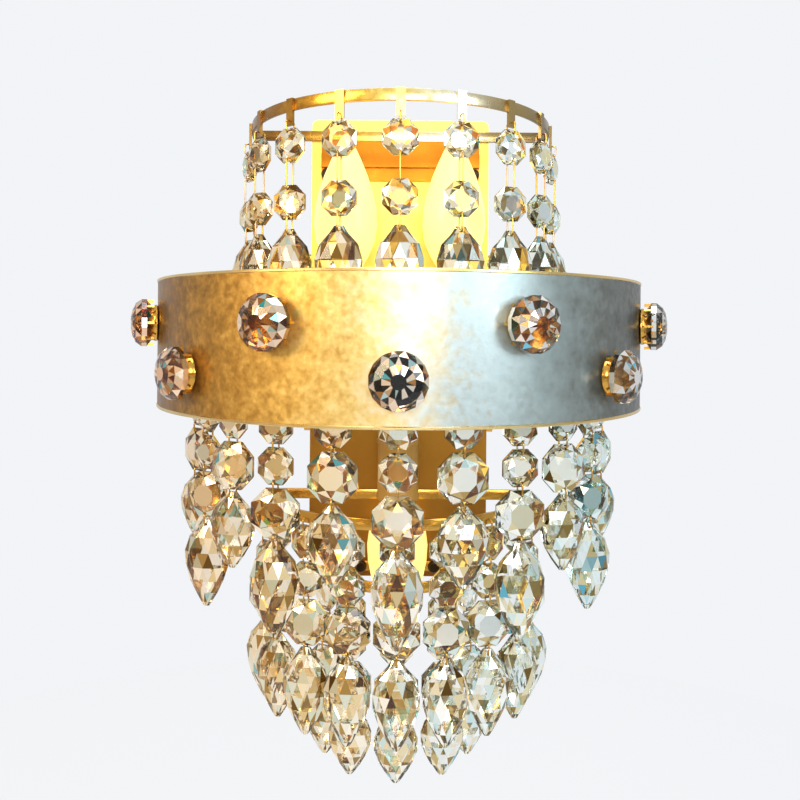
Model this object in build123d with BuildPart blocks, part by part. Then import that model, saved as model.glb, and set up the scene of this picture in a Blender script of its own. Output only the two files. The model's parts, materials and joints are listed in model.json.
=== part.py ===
"""Half-round crystal wall sconce.

A shallow steel pan hangs on a channel bracket that is screwed to the wall. Four D-shaped strip
rings stand out from the pan's front face, one above the other. Each ring carries a row of
crystal strands: octagon beads and a leaf-shaped drop, linked by small wire loops. A wide
half-round band with seven crystal studs goes round the second ring. Three candle bulbs stand
inside, two pointing up and one pointing down.

Frame: millimetres, +Z up, the wall is the plane y = 0 and the room is towards -Y. The origin is
the centre of the bracket's four wall holes. Angles round the sconce are counted from straight
ahead (-Y), positive towards +X.
"""

import math
import os

from build123d import *

# ---------------------------------------------------------------- driving dimensions (mm, degrees)

# Pan and wall bracket
pan_width = 107.0
pan_top = 135.0
pan_bottom = -141.0
pan_depth = 22.0
pan_sheet = 1.2
pan_corner = 4.0
bracket_height = 150.0
bracket_sheet = 2.0
bracket_flange = 14.0
bracket_gap = 0.3
wall_hole_spacing_x = 60.0
wall_hole_spacing_z = 100.0
wall_hole_radius = 2.75
cable_hole_radius = 10.0
side_screw_spacing = 100.0

# Screws and nuts, all M4
screw_radius = 1.95
tapped_radius = 2.0
clearance_radius = 2.2
screw_head_radius = 3.6
screw_head_height = 2.6
nut_across_flats = 7.0
nut_height = 3.2
nut_tail = 1.0
thumb_head_radius = 5.0
thumb_head_height = 5.0
thumb_screw_reach = 8.0

# Strip rings
strip_height = 6.0
strip_thickness = 2.0
hang_hole_radius = 1.0
hang_hole_inset = 2.5
ring_screw_inset = 13.5

# Band round the second ring
band_radius = 140.0
band_height = 70.0
band_sheet = 1.4
band_wall_gap = 2.0
band_arm_width = 8.0
band_arm_angles = (-82.5, -52.5, -22.5, 22.5, 52.5, 82.5)
stay_height = 6.0
stay_thickness = 3.0
stay_inset = 4.5
stay_foot_width = 11.0
stay_foot_thickness = 2.0

# Crystal studs on the band
stud_count = 7
stud_spacing = 23.75
stud_high = 11.0
stud_low = -13.5
stud_radius = 13.0
stud_facets = 16
stud_base_radius = 10.0
stud_base_height = 3.0
stud_crystal_height = 11.0
stud_rod_reach = 9.0

# Crystals and the wire loops between them
bead_size = 18.0
bead_thickness = 6.4
large_bead_size = 24.0
large_bead_thickness = 8.0
bead_edge = 1.6
bead_table_share = 0.5
bead_hole_inset = 2.2
crystal_hole_radius = 0.75
drop_width = 25.0
drop_thickness = 12.0
drop_length = 46.0
short_drop_length = 38.0
drop_hole_inset = 2.6
loop_height = 6.0
long_loop_height = 16.0
drop_loop_height = 9.6
loop_width = 6.4
loop_corner = 1.4
wire_radius = 0.45
# Shares of its place's angle by which a strand turns to the front, at its tab and at each link.
first_turn = 0.2
next_turn = 0.09

# Lamps
lamp_spread = 30.0
lamp_forward = 40.0
lamp_arm_height = -12.0
lamp_seat_height = 4.0
lower_lamp_forward = 21.0
lower_arm_height = -42.0
lower_seat_height = -54.0
arm_radius = 5.0
arm_bore = 4.0
arm_bend = 9.0
arm_tail = 14.0
arm_clearance = 0.1
arm_collar_radius = 9.0
arm_collar_height = 3.0
locknut_across_flats = 15.0
locknut_height = 4.0
cable_radius = 3.0
cable_bend = 6.0
cable_depth = 7.5
holder_radius = 12.5
holder_height = 36.0
holder_base = 10.0
holder_chamfer = 1.2
cap_radius = 6.9
cap_clearance = 0.3
cap_taper = 3.0
bulb_radius = 17.5
bulb_length = 76.0
bulb_neck_radius = 8.5
bulb_belly_share = 0.36
bulb_shoulder_share = 0.8
terminal_width = 36.0
terminal_height = 16.0
terminal_thickness = 11.0
terminal_bottom = 8.0
terminal_chamfer = 1.0

# Bracket that carries the top ring
flange_width = 95.0
flange_height = 24.0
flange_sheet = 1.5
flange_rib_height = 8.0
flange_rib_depth = 4.0
flange_rib_drop = 12.0
flange_screw_inset = 3.5
flange_screw_rise = 4.0

# Rows of strands: ring radius, height of the hanging holes, number of strands and the degrees
# between them. The top ring's holes are in tabs on its outer face.
tab_width = 4.6
tab_thickness = 1.6
tab_end = 2.5
tab_sink = 0.2
top_ring_radius = 87.5
top_ring_bottom = 122.0
top_hole_height = 116.3
top_spacing = 20.0
outer_ring_radius = 117.0
outer_hole_height = -25.0
outer_spacing = 15.0
middle_ring_radius = 78.0
middle_hole_height = -91.5
middle_spacing = 19.0
inner_ring_radius = 44.0
inner_hole_height = -134.8
inner_spacing = 36.0
top_strands = 9
outer_strands = 11
middle_strands = 9
inner_strands = 5

# ---------------------------------------------------------------- worked out from the above

front = -pan_depth
pan_middle = (pan_top + pan_bottom) / 2
pan_height = pan_top - pan_bottom
flange_top = top_ring_bottom
flange_bottom = flange_top - flange_height

os.makedirs("parts", exist_ok=True)


def write(part, name):
    """Labels a finished piece and writes it as its own STEP file."""
    part.label = name
    export_step(part, f"parts/{name}.step")


def fan(count, spacing):
    """Angles of a row of pieces, evenly spaced about straight ahead."""
    return [(index - (count - 1) / 2) * spacing for index in range(count)]


def around(radius, angle, height):
    """Place on a circle about the front plane's centre, with local -Y pointing outwards."""
    turn = math.radians(angle)
    x = radius * math.sin(turn)
    y = front - radius * math.cos(turn)
    return Location((x, y, height), (0, 0, angle))


def outward(radius, angle, height):
    """Plane on that circle whose normal points outwards, for round pieces and holes."""
    turn = math.radians(angle)
    away = Vector(math.sin(turn), -math.cos(turn), 0)
    along = Vector(math.cos(turn), math.sin(turn), 0)
    return Plane(Vector(0, front, height) + away * radius, x_dir=along, z_dir=away)


# ---------------------------------------------------------------- pan and wall bracket

ring_screw_places = [
    (side * (pan_width / 2 - ring_screw_inset), hole + strip_height / 2 - hang_hole_inset)
    for hole in (outer_hole_height, middle_hole_height)
    for side in (-1, 1)
]
inner_screw_x = inner_ring_radius / 2
ring_screw_places += [
    (side * inner_screw_x, inner_hole_height + strip_height / 2 - hang_hole_inset)
    for side in (-1, 1)
]
flange_screw_x = flange_width / 2 - flange_screw_inset
flange_screw_places = [
    (side * flange_screw_x, flange_bottom + flange_screw_rise) for side in (-1, 1)
]
stay_x = pan_width / 2 - stay_inset
stay_screw_x = stay_x - stay_foot_width / 2
stay_screw_places = [(side * stay_screw_x, 0.0) for side in (-1, 1)]
tapped_places = ring_screw_places + flange_screw_places + stay_screw_places
arm_places = [
    (-lamp_spread, lamp_arm_height),
    (lamp_spread, lamp_arm_height),
    (0.0, lower_arm_height),
]
side_screw_heights = (-side_screw_spacing / 2, side_screw_spacing / 2)
side_screw_depth = bracket_flange / 2


def on_front(places, depth=0.0):
    """Places on the pan's front plane, moved towards the wall by depth, normal to the room."""
    return [Location(Plane.XZ.offset(-front - depth) * Pos(x, z)) for x, z in places]


with BuildPart() as backplate:
    with BuildSketch(Plane.XZ):
        with Locations((0, pan_middle)):
            RectangleRounded(pan_width, pan_height, pan_corner)
    extrude(amount=pan_depth)
    wall_side = backplate.faces().sort_by(Axis.Y)[-1]
    offset(amount=-pan_sheet, openings=wall_side)
    with Locations(*on_front(tapped_places)):
        Hole(tapped_radius, depth=2 * pan_sheet)
    with Locations(*on_front(arm_places)):
        Hole(arm_radius + arm_clearance, depth=2 * pan_sheet)
    with BuildSketch(Plane.YZ):
        with Locations(*[(-side_screw_depth, height) for height in side_screw_heights]):
            Circle(clearance_radius)
    extrude(amount=pan_width, both=True, mode=Mode.SUBTRACT)
write(backplate.part, "backplate")

bracket_width = pan_width - 2 * (pan_sheet + bracket_gap)
with BuildPart() as wall_bracket:
    with BuildSketch(Plane.XY.offset(-bracket_height / 2)):
        with Locations((0, -bracket_flange / 2)):
            Rectangle(bracket_width, bracket_flange)
        with Locations((0, -(bracket_flange + bracket_sheet) / 2)):
            Rectangle(bracket_width - 2 * bracket_sheet, bracket_flange - bracket_sheet, mode=Mode.SUBTRACT)
    extrude(amount=bracket_height)
    with BuildSketch(Plane.XZ):
        with GridLocations(wall_hole_spacing_x, wall_hole_spacing_z, 2, 2):
            Circle(wall_hole_radius)
        Circle(cable_hole_radius)
    extrude(amount=bracket_sheet, mode=Mode.SUBTRACT)
    with BuildSketch(Plane.YZ):
        with Locations(*[(-side_screw_depth, height) for height in side_screw_heights]):
            Circle(tapped_radius)
    extrude(amount=bracket_width, both=True, mode=Mode.SUBTRACT)
write(wall_bracket.part, "wall_bracket")

with BuildPart() as side_screws:
    for side in (-1, 1):
        for height in side_screw_heights:
            seat = Plane((side * pan_width / 2, -side_screw_depth, height), z_dir=(side, 0, 0))
            with BuildSketch(seat):
                Circle(thumb_head_radius)
            extrude(amount=thumb_head_height)
            with BuildSketch(seat):
                Circle(screw_radius)
            extrude(amount=-thumb_screw_reach)
write(side_screws.part, "side_screws")

with BuildPart() as terminal_block:
    middle_y = -bracket_sheet - terminal_thickness / 2
    with Locations((0, middle_y, terminal_bottom + terminal_height / 2)):
        Box(terminal_width, terminal_thickness, terminal_height)
    chamfer(terminal_block.edges().filter_by(Axis.X), terminal_chamfer)
write(terminal_block.part, "terminal_block")

# ---------------------------------------------------------------- strip rings


def strip_ring(radius, bottom, hole_height, angles, screw_xs):
    """D-shaped strip: a half circle closed by a straight bar that lies on the pan's front."""
    outer = radius + strip_thickness / 2
    inner = radius - strip_thickness / 2
    reach = 2 * radius
    with BuildPart() as ring:
        with BuildSketch(Plane.XY.offset(bottom)):
            with Locations((0, front)):
                Circle(outer)
            with Locations((0, front + reach / 2)):
                Rectangle(2 * reach, reach, mode=Mode.SUBTRACT)
        extrude(amount=strip_height)
        with BuildSketch(Plane.XY.offset(bottom)):
            with Locations((0, front)):
                Circle(inner)
            with Locations((0, front - strip_thickness + reach / 2)):
                Rectangle(2 * reach, reach, mode=Mode.SUBTRACT)
        extrude(amount=strip_height, mode=Mode.SUBTRACT)
        for angle in angles:
            with BuildSketch(outward(radius - strip_thickness, angle, hole_height)):
                Circle(hang_hole_radius)
            extrude(amount=2 * strip_thickness, mode=Mode.SUBTRACT)
        if screw_xs:
            middle = bottom + strip_height / 2
            with BuildSketch(Plane.XZ.offset(-front)):
                with Locations(*[(x, middle) for x in screw_xs]):
                    Circle(clearance_radius)
            extrude(amount=strip_thickness, mode=Mode.SUBTRACT)
    return ring.part


top_angles = fan(top_strands, top_spacing)
outer_angles = fan(outer_strands, outer_spacing)
middle_angles = fan(middle_strands, middle_spacing)
inner_angles = fan(inner_strands, inner_spacing)

plate_screw_xs = [side * (pan_width / 2 - ring_screw_inset) for side in (-1, 1)]
inner_screw_xs = [side * inner_screw_x for side in (-1, 1)]

# The top row hangs from tabs on the ring's outer face, so the strip itself has no holes there.
tab_inner = top_ring_radius + strip_thickness / 2
tab_middle = tab_inner + tab_thickness / 2
tab_top = top_ring_bottom + strip_height
tab_bottom = top_hole_height - tab_end
with BuildPart() as top_ring:
    add(strip_ring(top_ring_radius, top_ring_bottom, 0, [], []))
    for angle in top_angles:
        with BuildSketch(outward(tab_inner - tab_sink, angle, (tab_top + tab_bottom) / 2)):
            Rectangle(tab_width, tab_top - tab_bottom)
        extrude(amount=tab_thickness + tab_sink)
        with BuildSketch(outward(tab_inner - tab_thickness, angle, top_hole_height)):
            Circle(hang_hole_radius)
        extrude(amount=3 * tab_thickness, mode=Mode.SUBTRACT)
write(top_ring.part, "top_ring")

band_ring = strip_ring(
    outer_ring_radius,
    outer_hole_height - hang_hole_inset,
    outer_hole_height,
    outer_angles,
    plate_screw_xs,
)
write(band_ring, "band_ring")

middle_ring = strip_ring(
    middle_ring_radius,
    middle_hole_height - hang_hole_inset,
    middle_hole_height,
    middle_angles,
    plate_screw_xs,
)
write(middle_ring, "middle_ring")

inner_ring = strip_ring(
    inner_ring_radius,
    inner_hole_height - hang_hole_inset,
    inner_hole_height,
    inner_angles,
    inner_screw_xs,
)
write(inner_ring, "inner_ring")

with BuildPart() as top_ring_bracket:
    with BuildSketch(Plane.XZ.offset(-front)):
        with Locations((0, (flange_top + flange_bottom) / 2)):
            RectangleRounded(flange_width, flange_height, flange_screw_inset / 2)
        with Locations(*flange_screw_places):
            Circle(clearance_radius, mode=Mode.SUBTRACT)
    extrude(amount=flange_sheet)
    with Locations((0, front - flange_rib_depth / 2, flange_top - flange_rib_drop)):
        Box(flange_width, flange_rib_depth, flange_rib_height)
write(top_ring_bracket.part, "top_ring_bracket")


def screw(length):
    """Pan-head screw whose seat is the local origin and whose shank goes down local -Z."""
    with BuildPart() as piece:
        with BuildSketch(Plane.XY):
            Circle(screw_head_radius)
        extrude(amount=screw_head_height)
        fillet(piece.faces().sort_by(Axis.Z)[-1].edges(), screw_head_height / 2)
        with BuildSketch(Plane.XY):
            Circle(screw_radius)
        extrude(amount=-length)
    return piece.part


def hex_nut(across_flats, height, bore):
    """Hexagon nut that stands on the local origin's plane."""
    with BuildPart() as piece:
        with BuildSketch(Plane.XY):
            RegularPolygon(across_flats / 2, 6, major_radius=False)
            Circle(bore, mode=Mode.SUBTRACT)
        extrude(amount=height)
    return piece.part


seated = [(strip_thickness, ring_screw_places)]
seated += [(flange_sheet, flange_screw_places), (stay_foot_thickness, stay_screw_places)]
with BuildPart() as frame_screws:
    for seat_height, places in seated:
        length = seat_height + pan_sheet + nut_height + nut_tail
        with Locations(*on_front(places, -seat_height)):
            add(screw(length))
write(frame_screws.part, "frame_screws")

with BuildPart() as frame_nuts:
    for x, z in tapped_places:
        inside = Plane((x, front + pan_sheet, z), x_dir=(1, 0, 0), z_dir=(0, 1, 0))
        with Locations(Location(inside)):
            add(hex_nut(nut_across_flats, nut_height, tapped_radius))
write(frame_nuts.part, "frame_nuts")

# ---------------------------------------------------------------- band and what holds it

band_inner = band_radius - band_sheet
stud_places = [
    (angle, stud_low if index % 2 else stud_high)
    for index, angle in enumerate(fan(stud_count, stud_spacing))
]


def half_round(radius):
    """Outline of a half circle ahead of the front plane, drawn back to the wall gap."""
    flank = pan_depth - band_wall_gap
    with BuildSketch() as outline:
        with Locations((0, front)):
            Circle(radius)
        with Locations((0, front + radius)):
            Rectangle(2 * radius, 2 * radius, mode=Mode.SUBTRACT)
        with Locations((0, front + flank / 2)):
            Rectangle(2 * radius, flank)
    return outline.sketch


with BuildPart() as band:
    with BuildSketch(Plane.XY.offset(-band_height / 2)):
        add(half_round(band_radius))
        add(half_round(band_inner), mode=Mode.SUBTRACT)
    extrude(amount=band_height)
    for angle, height in stud_places:
        with BuildSketch(outward(band_inner - band_sheet, angle, height)):
            Circle(clearance_radius)
        extrude(amount=3 * band_sheet, mode=Mode.SUBTRACT)
write(band.part, "band")

arm_bottom = outer_hole_height - hang_hole_inset
with BuildPart() as band_arms:
    for angle in band_arm_angles:
        with BuildSketch(outward(outer_ring_radius, angle, arm_bottom + strip_height / 2)):
            Rectangle(band_arm_width, strip_height)
        extrude(amount=band_radius - outer_ring_radius)
    with BuildSketch(Plane.XY.offset(arm_bottom)):
        with Locations((0, front)):
            Circle(band_inner)
            Circle(outer_ring_radius + strip_thickness / 2, mode=Mode.SUBTRACT)
    extrude(amount=strip_height, mode=Mode.INTERSECT)
write(band_arms.part, "band_arms")

with BuildPart() as band_stays:
    for side in (-1, 1):
        with BuildSketch(Plane.XZ.offset(-front)):
            with Locations((side * stay_x, 0)):
                Rectangle(stay_thickness, stay_height)
        extrude(amount=band_radius)
        foot_middle = side * (stay_x - stay_foot_width / 2 + stay_thickness / 2)
        with BuildSketch(Plane.XZ.offset(-front)):
            with Locations((foot_middle, 0)):
                Rectangle(stay_foot_width, 2 * stay_height)
            with Locations((side * stay_screw_x, 0)):
                Circle(clearance_radius, mode=Mode.SUBTRACT)
        extrude(amount=stay_foot_thickness)
    with BuildSketch(Plane.XY.offset(-band_height / 2)):
        add(half_round(band_inner))
    extrude(amount=band_height, mode=Mode.INTERSECT)
write(band_stays.part, "band_stays")

with BuildPart() as stud_bases:
    for angle, height in stud_places:
        seat = outward(band_radius, angle, height)
        with BuildSketch(seat):
            Circle(stud_base_radius)
        extrude(amount=stud_base_height)
        with BuildSketch(seat):
            Circle(screw_radius)
        extrude(amount=-stud_rod_reach)
write(stud_bases.part, "stud_bases")

with BuildPart() as stud_nuts:
    nut_face = math.sqrt(band_inner**2 - (nut_across_flats / math.sqrt(3)) ** 2)
    for angle, height in stud_places:
        inside = outward(nut_face - nut_height, angle, height)
        with Locations(Location(inside)):
            add(hex_nut(nut_across_flats, nut_height, tapped_radius))
write(stud_nuts.part, "stud_nuts")

# Heights and radii of the stud's facet rows, as shares of its height and radius.
stud_rows = [(0.0, 0.78), (0.22, 1.0), (0.6, 1.0), (1.0, 0.62)]
with BuildPart() as stud_crystals:
    for angle, height in stud_places:
        for share, width in stud_rows:
            level = band_radius + stud_base_height + share * stud_crystal_height
            with BuildSketch(outward(level, angle, height)):
                RegularPolygon(stud_radius * width, stud_facets)
        loft(ruled=True)
write(stud_crystals.part, "stud_crystals")

# ---------------------------------------------------------------- crystals and loops


def bead(size, thickness):
    """Octagon bead standing in the local XZ plane, with a hole near its top and bottom edge."""
    with BuildPart() as piece:
        rows = [
            (-thickness / 2, bead_table_share),
            (-bead_edge / 2, 1.0),
            (bead_edge / 2, 1.0),
            (thickness / 2, bead_table_share),
        ]
        for depth, share in rows:
            with BuildSketch(Plane.XZ.offset(depth)):
                RegularPolygon(size / 2 * share, 8, major_radius=False, rotation=22.5)
        loft(ruled=True)
        hole_height = size / 2 - bead_hole_inset
        with BuildSketch(Plane.XZ.offset(-thickness)):
            with Locations((0, hole_height), (0, -hole_height)):
                Circle(crystal_hole_radius)
        extrude(amount=2 * thickness, mode=Mode.SUBTRACT)
    return piece.part


# Shares of a drop's length and of its width, from its top to its blunt tip.
drop_rows = [(0.0, 0.2), (0.09, 0.42), (0.22, 0.82), (0.4, 1.0)]
drop_rows += [(0.6, 0.9), (0.8, 0.58), (0.93, 0.3), (1.0, 0.12)]


def drop(length):
    """Leaf-shaped drop that hangs down from the local origin, broad near the top."""
    half_width = drop_width / 2
    half_depth = drop_thickness / 2
    outline = [(1.0, 0.0), (0.72, 0.6), (0.3, 1.0), (-0.3, 1.0), (-0.72, 0.6)]
    outline += [(-x, -y) for x, y in outline]
    with BuildPart() as piece:
        for down, share in drop_rows:
            with BuildSketch(Plane.XY.offset(-down * length)):
                with BuildLine():
                    points = [(x * half_width * share, y * half_depth * share) for x, y in outline]
                    Polyline(*points, close=True)
                make_face()
        loft(ruled=True)
        with BuildSketch(Plane.XZ.offset(-drop_thickness)):
            with Locations((0, -drop_hole_inset)):
                Circle(crystal_hole_radius)
        extrude(amount=2 * drop_thickness, mode=Mode.SUBTRACT)
    return piece.part


def wire_loop(height):
    """Wire loop in the local YZ plane whose top and bottom runs lie a height apart."""
    with BuildPart() as piece:
        with BuildLine(Plane.YZ) as route:
            half_width = loop_width / 2
            corners = [(half_width, 0), (half_width, -height), (-half_width, -height)]
            corners += [(-half_width, 0)]
            FilletPolyline(*corners, radius=loop_corner, close=True)
        with BuildSketch(Plane(route.line @ 0, z_dir=route.line % 0)):
            Circle(wire_radius)
        sweep()
    return piece.part


small_bead = bead(bead_size, bead_thickness)
large_bead = bead(large_bead_size, large_bead_thickness)
long_drop = drop(drop_length)
short_drop = drop(short_drop_length)
loop_heights = (loop_height, long_loop_height, drop_loop_height)
loop_parts = {height: wire_loop(height) for height in loop_heights}


def hang_strand(place, angle, loops, beads, last):
    """One strand at its hanging hole. Each link lets the next piece turn a little to the front."""
    turn = -first_turn * angle
    level = 0.0
    with BuildPart() as strand:
        for loop, (part, size) in zip(loops, beads):
            with Locations(place * Location((0, 0, level), (0, 0, turn))):
                add(loop_parts[loop])
            turn -= next_turn * angle
            level -= loop + size / 2 - bead_hole_inset
            with Locations(place * Location((0, 0, level), (0, 0, turn))):
                add(part)
            turn -= next_turn * angle
            level -= size / 2 - bead_hole_inset
        with Locations(place * Location((0, 0, level), (0, 0, turn))):
            add(loop_parts[loops[-1]])
        turn -= next_turn * angle
        with Locations(place * Location((0, 0, level - loops[-1] + drop_hole_inset), (0, 0, turn))):
            add(last)
    return strand.part


small = (small_bead, bead_size)
large = (large_bead, large_bead_size)
top_kind = ([loop_height, long_loop_height, drop_loop_height], [small, small], long_drop)
long_kind = ([loop_height] * 4, [small, small, large], long_drop)
short_kind = ([loop_height] * 3, [small, large], short_drop)
inner_kind = ([loop_height] * 4, [small, small, large], short_drop)
# The kinds of a row take turns, so the outer row has a short strand at each end.
rows = {
    "top": (tab_middle, top_hole_height, top_angles, [top_kind]),
    "outer": (outer_ring_radius, outer_hole_height, outer_angles, [short_kind, long_kind]),
    "middle": (middle_ring_radius, middle_hole_height, middle_angles, [long_kind]),
    "inner": (inner_ring_radius, inner_hole_height, inner_angles, [inner_kind]),
}
for row, (radius, height, angles, kinds) in rows.items():
    for index, angle in enumerate(angles):
        kind = kinds[index % len(kinds)]
        strand = hang_strand(around(radius, angle, height), angle, *kind)
        write(strand, f"{row}_strand_{index + 1}")

# ---------------------------------------------------------------- lamps


def lamp_route(forward, arm_height, seat_height, start):
    """Route of a lamp's arm, from behind the pan's front to the lamp's seat, in local YZ."""
    return [(start, arm_height), (front - forward, arm_height), (front - forward, seat_height)]


lamps = [
    (-lamp_spread, lamp_forward, lamp_arm_height, lamp_seat_height),
    (lamp_spread, lamp_forward, lamp_arm_height, lamp_seat_height),
    (0.0, lower_lamp_forward, lower_arm_height, lower_seat_height),
]

with BuildPart() as lamp_arms:
    for x, forward, arm_height, seat_height in lamps:
        tail = -arm_tail
        side_plane = Plane((x, 0, 0), x_dir=(0, 1, 0), z_dir=(1, 0, 0))
        for radius, mode in ((arm_radius, Mode.ADD), (arm_bore, Mode.SUBTRACT)):
            with BuildLine(side_plane) as route:
                FilletPolyline(*lamp_route(forward, arm_height, seat_height, tail), radius=arm_bend)
            with BuildSketch(Plane((x, tail, arm_height), x_dir=(1, 0, 0), z_dir=(0, -1, 0))):
                Circle(radius)
            sweep(path=route.wires()[0], mode=mode)
        collar = Plane((x, front, arm_height), x_dir=(1, 0, 0), z_dir=(0, -1, 0))
        with BuildSketch(collar):
            Circle(arm_collar_radius)
            Circle(arm_bore, mode=Mode.SUBTRACT)
        extrude(amount=arm_collar_height)
write(lamp_arms.part, "lamp_arms")

with BuildPart() as arm_locknuts:
    for x, z in arm_places:
        inside = Plane((x, front + pan_sheet, z), x_dir=(1, 0, 0), z_dir=(0, 1, 0))
        with Locations(Location(inside)):
            add(hex_nut(locknut_across_flats, locknut_height, arm_radius + arm_clearance))
write(arm_locknuts.part, "arm_locknuts")

terminal_middle = terminal_bottom + terminal_height / 2
with BuildPart() as lamp_cables:
    for x, forward, arm_height, seat_height in lamps:
        seat = front - forward
        side = (x > 0) - (x < 0)
        block_edge = side * terminal_width / 2
        route_points = [(x, seat, seat_height), (x, seat, arm_height), (x, -cable_depth, arm_height)]
        bends = [arm_bend, cable_bend]
        if side:
            route_points += [(x, -cable_depth, terminal_middle), (block_edge, -cable_depth, terminal_middle)]
            bends += [cable_bend]
        else:
            route_points += [(x, -cable_depth, terminal_bottom)]
        with BuildLine() as route:
            FilletPolyline(*route_points, radius=bends)
        start = Plane((x, seat, seat_height), x_dir=(1, 0, 0), z_dir=(0, 0, 1))
        with BuildSketch(start):
            Circle(cable_radius)
        sweep(path=route.wires()[0])
write(lamp_cables.part, "lamp_cables")


def lamp_plane(x, forward, seat_height, up):
    """Plane at a lamp's seat whose normal is the way the bulb points."""
    return Plane((x, front - forward, seat_height), x_dir=(1, 0, 0), z_dir=(0, 0, up))


with BuildPart() as lampholders:
    for x, forward, arm_height, seat_height in lamps:
        up = 1 if seat_height > arm_height else -1
        with BuildSketch(lamp_plane(x, forward, seat_height, up)):
            Circle(holder_radius)
        extrude(amount=holder_height)
        socket = lamp_plane(x, forward, seat_height + up * holder_base, up)
        with BuildSketch(socket):
            Circle(cap_radius + cap_clearance)
        extrude(amount=holder_height, mode=Mode.SUBTRACT)
    rims = lampholders.edges().filter_by(GeomType.CIRCLE)
    chamfer(rims.filter_by(lambda edge: edge.radius > cap_radius + holder_chamfer), holder_chamfer)
write(lampholders.part, "lampholders")


def bulb(x, forward, seat_height, up):
    """Candle bulb with its screw cap in the holder and its tip along the lamp's direction."""
    cap_foot = holder_base + cap_clearance
    neck = holder_height + cap_clearance
    tip = neck + bulb_length
    belly = neck + bulb_length * bulb_belly_share
    shoulder = neck + bulb_length * bulb_shoulder_share
    with BuildPart() as piece:
        with BuildSketch(Plane.XZ):
            with BuildLine():
                taper_top = cap_foot + cap_taper
                foot = [(0, cap_foot), (cap_radius / 2, cap_foot), (cap_radius, taper_top)]
                Polyline(*foot, (cap_radius, neck))
                Line((cap_radius, neck), (bulb_neck_radius, neck))
                Spline(
                    (bulb_neck_radius, neck),
                    (bulb_radius, belly),
                    (bulb_radius / 2, shoulder),
                    (0, tip),
                    tangents=[(0.5, 1), (-0.3, 1)],
                )
                Line((0, tip), (0, cap_foot))
            make_face()
        revolve(axis=Axis.Z)
    with BuildPart() as placed:
        with Locations(Location(lamp_plane(x, forward, seat_height, up))):
            add(piece.part)
    return placed.part


for name, (x, forward, arm_height, seat_height) in zip(("bulb_left", "bulb_right", "bulb_lower"), lamps):
    up = 1 if seat_height > arm_height else -1
    write(bulb(x, forward, seat_height, up), name)
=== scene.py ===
import json
import math

import bmesh
import bpy
from mathutils import Matrix, Vector

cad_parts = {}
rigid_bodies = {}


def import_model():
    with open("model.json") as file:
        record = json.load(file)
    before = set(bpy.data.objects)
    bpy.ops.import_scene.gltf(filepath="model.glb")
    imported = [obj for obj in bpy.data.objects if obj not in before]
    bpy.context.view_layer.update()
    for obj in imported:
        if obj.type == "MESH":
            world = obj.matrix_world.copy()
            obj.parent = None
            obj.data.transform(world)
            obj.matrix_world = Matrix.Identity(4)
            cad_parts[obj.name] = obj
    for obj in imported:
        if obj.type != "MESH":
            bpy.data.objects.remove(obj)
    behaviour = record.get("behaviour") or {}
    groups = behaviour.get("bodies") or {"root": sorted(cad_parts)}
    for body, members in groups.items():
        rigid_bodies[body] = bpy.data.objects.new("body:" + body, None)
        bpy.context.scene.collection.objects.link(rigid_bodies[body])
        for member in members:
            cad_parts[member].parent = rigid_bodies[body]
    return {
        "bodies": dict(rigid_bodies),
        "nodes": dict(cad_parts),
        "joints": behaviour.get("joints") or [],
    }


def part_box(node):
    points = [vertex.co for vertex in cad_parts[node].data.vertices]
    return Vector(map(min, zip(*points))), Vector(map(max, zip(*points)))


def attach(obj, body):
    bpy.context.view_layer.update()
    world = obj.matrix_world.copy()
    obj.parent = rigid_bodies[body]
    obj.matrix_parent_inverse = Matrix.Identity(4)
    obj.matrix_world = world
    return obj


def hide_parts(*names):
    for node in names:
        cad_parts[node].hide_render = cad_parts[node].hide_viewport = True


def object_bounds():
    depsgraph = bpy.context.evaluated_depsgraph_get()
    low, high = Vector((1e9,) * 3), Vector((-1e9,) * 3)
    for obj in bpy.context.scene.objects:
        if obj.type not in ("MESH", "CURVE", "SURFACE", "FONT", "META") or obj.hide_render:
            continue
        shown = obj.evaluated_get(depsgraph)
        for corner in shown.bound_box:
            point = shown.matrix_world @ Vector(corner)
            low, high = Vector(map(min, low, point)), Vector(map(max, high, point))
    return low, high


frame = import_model()
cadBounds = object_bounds()

rootBody = "frame"


def lowHigh(node):
    low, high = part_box(node)
    return Vector(low), Vector(high)


panLow, panHigh = lowHigh("backplate")
panFront = panLow.y  # the rings, the band and the lamps all start from this plane
jointOf = {joint["child"]: joint for joint in frame["joints"]}


def swingPlace(strand):
    # hanging point of a strand and its angle from straight ahead
    joint = jointOf[strand]
    point = Vector(joint["pos_m"])
    return point, math.atan2(point.x, panFront - point.y)


class Value:
    # a number that varies over a surface; sums of these add Math nodes
    def __init__(self, shader, socket):
        self.shader = shader
        self.socket = socket

    def combine(self, operation, first, second):
        made = self.shader.node("ShaderNodeMath", {"operation": operation}, {0: first, 1: second})
        return Value(self.shader, made.outputs[0])

    def __add__(self, other):
        return self.combine("ADD", self, other)

    def __radd__(self, other):
        return self.combine("ADD", other, self)

    def __sub__(self, other):
        return self.combine("SUBTRACT", self, other)

    def __rsub__(self, other):
        return self.combine("SUBTRACT", other, self)

    def __mul__(self, other):
        return self.combine("MULTIPLY", self, other)

    def __rmul__(self, other):
        return self.combine("MULTIPLY", other, self)

    def __truediv__(self, other):
        return self.combine("DIVIDE", self, other)

    def __rtruediv__(self, other):
        return self.combine("DIVIDE", other, self)

    def above(self, limit):
        return self.combine("GREATER_THAN", self, limit)

    def clamp(self):
        made = self.shader.node("ShaderNodeClamp", {}, {"Value": self})
        return Value(self.shader, made.outputs[0])

    def about(self, level, spread):
        # this noise moved to a level, with the spread it may have there
        return (self - 0.5) * spread + level


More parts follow.
